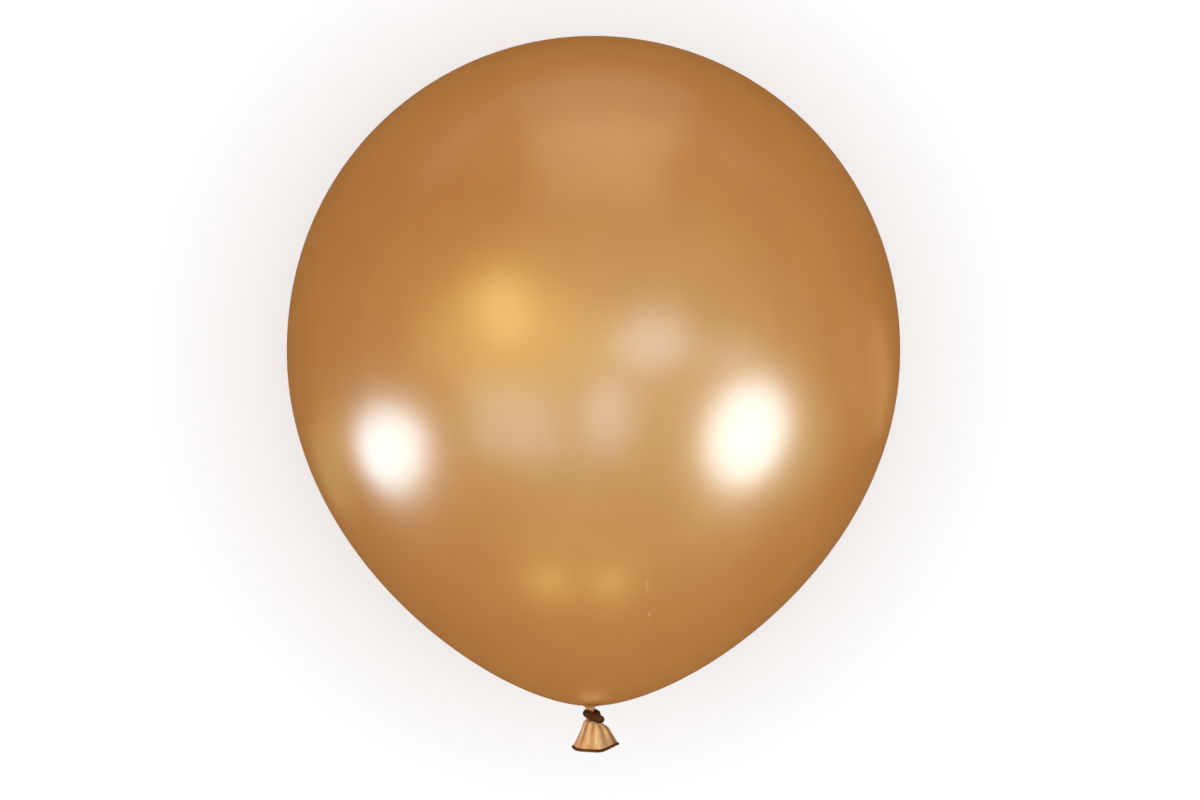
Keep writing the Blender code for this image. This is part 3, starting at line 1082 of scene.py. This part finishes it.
def skin_under(x, y):
    """The point and the normal of the skin that show at a pixel, with the way of looking."""
    looking = (over_pixel(x, y) - camera.location).normalized()
    hit, spot, normal, face = skin.ray_cast(camera.location, looking)
    if not hit:
        raise ValueError(f"the balloon doesn't show at {x}, {y}")
    return spot, normal, looking


tree = stretched_latex.node_tree
base_color = tree.nodes["Principled BSDF"].inputs["Base Color"]
for number, (pixel, length, width, strength) in enumerate(CREASES):
    middle = skin_under(*pixel)[0]
    size = Vector((width, length, length)) / 2
    values = {"Middle": middle, "Size": size, "Strength": strength}
    crease = add_node(
        tree, "ShaderNodeGroup", (560 + 170 * number, 300), {"node_tree": crease_line}, values
    )
    so_far = base_color.links[0].from_socket
    tree.links.new(so_far, crease.inputs["Color"])
    tree.links.new(crease.outputs["Color"], base_color)
print(len(CREASES), "creases drawn")

# %% Give each band of the skin its finish
for material in (stretched_latex, gathered_latex, rolled_latex):
    skin_mesh.materials.append(material)
finish_of_ring = np.ones(len(rings) + 1, dtype=int)
finish_of_ring[: body_rings + 1] = 0
finish_of_ring[lip_start:lip_end] = 2
skin_mesh.polygons.foreach_set("material_index", np.repeat(finish_of_ring, SIDES))

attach(skin, "root")
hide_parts("balloon")
print("finished", skin.name)

# %% [markdown]
# The floor
#
# The floor is plain, pale and matte, and big enough that no view shows its edge. In the
# photograph the balloon mirrors a dim room and not the white round it, so the floor is left out
# of its gloss.

# %% Lay the floor
FLOOR_SIZE = 40.0
FLOOR_COLOUR = (0.90, 0.93, 0.95, 1.0)
bpy.ops.mesh.primitive_plane_add(size=FLOOR_SIZE)
floor = bpy.context.object
floor.name = "floor"
floor_paint = bpy.data.materials.new("pale_floor")
floor_paint.use_nodes = True
floor_shader = floor_paint.node_tree.nodes["Principled BSDF"]
floor_shader.inputs["Base Color"].default_value = FLOOR_COLOUR
floor_shader.inputs["Roughness"].default_value = 0.9
floor_shader.inputs["Specular IOR Level"].default_value = 0.1
floor.data.materials.append(floor_paint)
floor.visible_glossy = False
print("floor laid")

# %% [markdown]
# Soft light all round
#
# A bright, soft room lights the floor and the balloon. It is brightest overhead, a little to the
# right and towards the tail, and warmer low down, which deepens the gold near the outline. Gloss
# sees a dimmer room than that, with a warm dark below it, as in a studio where only the lamps and
# windows are bright enough to show as highlights. The camera sees plain white beyond the floor.

# %% Light the room
OVERHEAD_LIGHT = (1.50, 1.54, 1.58, 1.0)
HORIZON_LIGHT = (0.79, 0.63, 0.52, 1.0)
LIGHT_SIDE = (0.10, -0.06, 0.99)
GLOSS_OVERHEAD = (0.58, 0.60, 0.31, 1.0)
GLOSS_BELOW = (0.31, 0.14, 0.045, 1.0)
GLOSS_SIDE = (0.22, -0.25, 0.94)
WHITE = (1.0, 1.0, 1.0, 1.0)
world = bpy.data.worlds.new("studio")
bpy.context.scene.world = world
world.use_nodes = True
room = world.node_tree
link = room.links.new
direction = add_node(room, "ShaderNodeTexCoord", (-1100, 0))
light_side = add_node(
    room, "ShaderNodeVectorMath", (-900, 200), {"operation": "DOT_PRODUCT"}, {1: LIGHT_SIDE}
)
link(direction.outputs["Generated"], light_side.inputs[0])
height = light_side.outputs["Value"]
soft_light = mixed(room, (-600, 200), "RGBA", height, HORIZON_LIGHT, OVERHEAD_LIGHT)
gloss_side = add_node(
    room, "ShaderNodeVectorMath", (-1000, -200), {"operation": "DOT_PRODUCT"}, {1: GLOSS_SIDE}
)
link(direction.outputs["Generated"], gloss_side.inputs[0])
climb = add_node(
    room,
    "ShaderNodeMapRange",
    (-800, -200),
    {"interpolation_type": "SMOOTHSTEP"},
    {"From Min": -0.05, "From Max": 0.75},
)
link(gloss_side.outputs["Value"], climb.inputs["Value"])
climbed = climb.outputs["Result"]
in_gloss = mixed(room, (-600, -200), "RGBA", climbed, GLOSS_BELOW, GLOSS_OVERHEAD)

rays = add_node(room, "ShaderNodeLightPath", (-600, 600))
glossy_ray = rays.outputs["Is Glossy Ray"]
camera_ray = rays.outputs["Is Camera Ray"]
gloss_or_not = mixed(room, (-350, 100), "RGBA", glossy_ray, soft_light, in_gloss)
seen = mixed(room, (-150, 100), "RGBA", camera_ray, gloss_or_not, WHITE)
link(seen, room.nodes["Background"].inputs["Color"])
bpy.context.scene.view_settings.view_transform = "Standard"
print("room lit")

# %% [markdown]
# Panels that show as highlights
#
# Each bright spot on the balloon is the mirror image of a lit panel. The skin itself tells where
# a panel has to stand: look from the camera at the spot, bounce off the skin, and follow that
# line for a few metres. The same is done for the spot's left, right, upper and lower ends, which
# gives the panel's size and tilt. The two lamps have a fainter panel beside them, for the glow on
# their outer side. The panels only add gloss, so the floor keeps its even light.

# %% Stand the panels on the mirror lines
PANEL_DISTANCE = 2.4


def mirrored_from(x, y, away):
    """The place, so far away, that the balloon mirrors at a pixel of the photograph."""
    spot, normal, looking = skin_under(x, y)
    return spot + looking.reflect(normal) * away, spot


def light_panel(
    name, pixel, width, height, radiance, colour, slant=0, shape="ELLIPSE", away=PANEL_DISTANCE
):
    """A panel that shows on the balloon at a pixel, with its size in pixels. The slant is how far
    its top lies to the right of its bottom."""
    x, y = pixel
    place, spot = mirrored_from(x, y, away)
    left = mirrored_from(x - width / 2, y, away)[0]
    across = mirrored_from(x + width / 2, y, away)[0] - left
    bottom = mirrored_from(x - slant / 2, y + height / 2, away)[0]
    upward = mirrored_from(x + slant / 2, y - height / 2, away)[0] - bottom
    backward = (place - spot).normalized()
    right = (across - backward * across.dot(backward)).normalized()
    up = backward.cross(right)
    if shape == "ELLIPSE":
        # The two directions aren't square to each other on the panel, but an ellipse always has
        # two axes that are.
        spans = np.array([[v.dot(u) for v in (across, upward)] for u in (right, up)])
        axes, lengths = np.linalg.svd(spans)[:2]
        long_axis = right * axes[0, 0] + up * axes[1, 0]
    else:
        lengths = (across.dot(right), abs(upward.dot(up)))
        long_axis = right
    data = bpy.data.lights.new(name, "AREA")
    data.shape = shape
    data.size, data.size_y = lengths
    data.color = colour
    area = data.size * data.size_y * (math.pi / 4 if shape == "ELLIPSE" else 1.0)
    data.energy = radiance * math.pi * area
    panel = bpy.data.objects.new(name, data)
    turn = Matrix((long_axis, backward.cross(long_axis), backward)).transposed()
    panel.matrix_world = Matrix.Translation(place) @ turn.to_4x4()
    panel.visible_camera = False
    panel.visible_diffuse = False
    bpy.context.scene.collection.objects.link(panel)
    print(f"{name}: {data.size:.2f} x {data.size_y:.2f} m, {place.z:.2f} m up")


DAYLIGHT = (0.54, 0.92, 1.26)
WARM = (1.0, 1.0, 0.38)
AMBER = (0.85, 1.0, 0.45)
PLAIN = (0.82, 1.0, 0.82)
COOL = (0.75, 0.9, 1.2)
GLOW = (0.5, 1.0, 0.6)
RIM_COLOUR = (1.0, 0.8, 0.38)
light_panel("right_key", (751, 432), 84, 108, 8.1, DAYLIGHT, 15)
light_panel("right_glow", (808, 448), 60, 110, 0.36, GLOW, 15)
light_panel("left_key", (389, 451), 71, 85, 7.7, DAYLIGHT, -8)
light_panel("left_glow", (333, 452), 40, 110, 0.42, AMBER, -8)
light_panel("upper_window", (648, 345), 80, 52, 2.9, DAYLIGHT, 10)
light_panel("upper_window_edge", (722, 350), 66, 26, 1.2, DAYLIGHT)
light_panel("lower_window", (604, 413), 62, 70, 2.3, DAYLIGHT)
light_panel("far_window", (517, 418), 94, 68, 1.5, DAYLIGHT, 0, "RECTANGLE")
light_panel("low_window", (570, 462), 150, 40, 0.4, DAYLIGHT)
light_panel("warm_lamp", (507, 306), 58, 72, 1.95, WARM)
light_panel("warm_wall", (515, 342), 250, 125, 0.75, AMBER)
light_panel("crown_panel", (600, 158), 144, 82, 0.58, PLAIN, 0, "RECTANGLE")
light_panel("crown_wall", (606, 108), 205, 80, 0.28, COOL, 0, "RECTANGLE")
light_panel("crown_strip_left", (452, 146), 34, 86, 0.28, COOL, 80)
light_panel("crown_strip_right", (742, 168), 30, 90, 0.24, COOL, -70)
light_panel("low_lamp_left", (548, 583), 50, 15, 4.2, WARM)
light_panel("low_lamp_right", (612, 585), 34, 18, 3.6, WARM)
# The right rim mirrors something pale that lies close by, and more so further out.
light_panel("rim_panel", (882, 376), 14, 130, 0.24, RIM_COLOUR, away=0.25)
light_panel("rim_panel_wide", (869, 370), 44, 164, 0.17, RIM_COLOUR, away=0.3)
print("panels in place")
